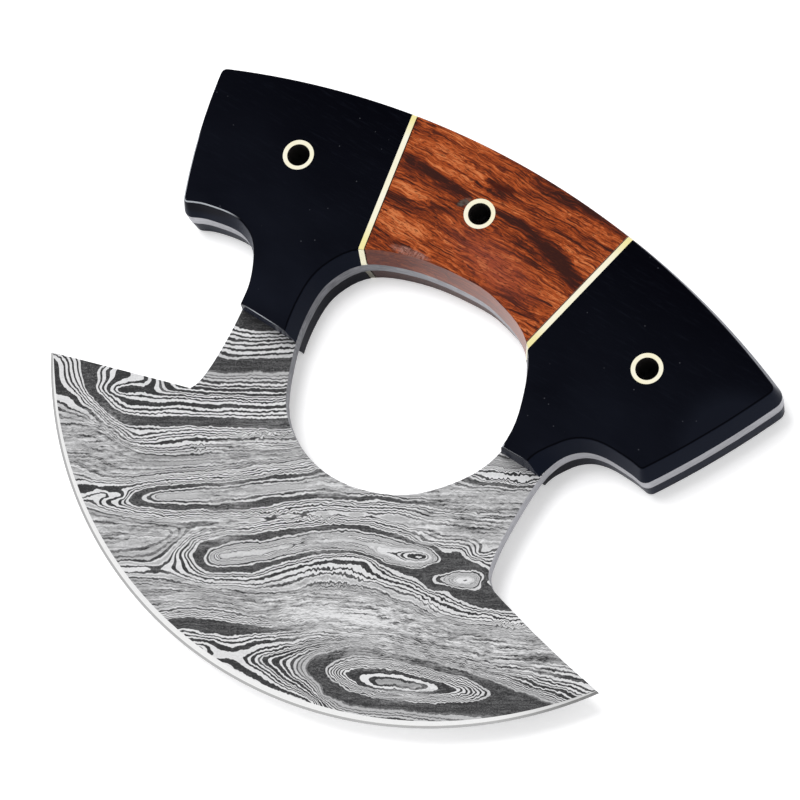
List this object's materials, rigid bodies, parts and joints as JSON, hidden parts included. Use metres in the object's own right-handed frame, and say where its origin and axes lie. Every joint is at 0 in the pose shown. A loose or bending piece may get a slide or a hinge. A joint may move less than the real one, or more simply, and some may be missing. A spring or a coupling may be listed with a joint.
{
  "type": "ulu knife",
  "caption": "Ulu knife: one-piece patterned steel blade and tang with curved cutting edge, finger opening and pinned slab handle with spacers.",
  "frame": {"origin": "middle of the knife's box, in the plane that the back handle slabs' faces lie on", "axes": "+X along the handle, +Y from the cutting edge to the handle's spine, +Z through the thickness, out of the front face"},
  "size_m": [0.1364, 0.1168, 0.0148],
  "materials": {
    "pattern_steel": "etched pattern-welded steel with flowing dark and light layers",
    "black_horn": "polished blue-black horn",
    "rosewood": "polished reddish-brown rosewood with dark streaks",
    "pale_brass": "polished pale brass"
  },
  "bodies": {
    "root": {"blade_and_tang": "pattern_steel", "left_tube_pin": "pale_brass", "centre_tube_pin": "pale_brass", "right_tube_pin": "pale_brass", "front_left_scale": "black_horn", "front_left_spacer": "pale_brass", "front_centre_scale": "rosewood", "front_right_spacer": "pale_brass", "front_right_scale": "black_horn", "back_left_scale": "black_horn", "back_left_spacer": "pale_brass", "back_centre_scale": "rosewood", "back_right_spacer": "pale_brass", "back_right_scale": "black_horn"}
  },
  "joints": []
}
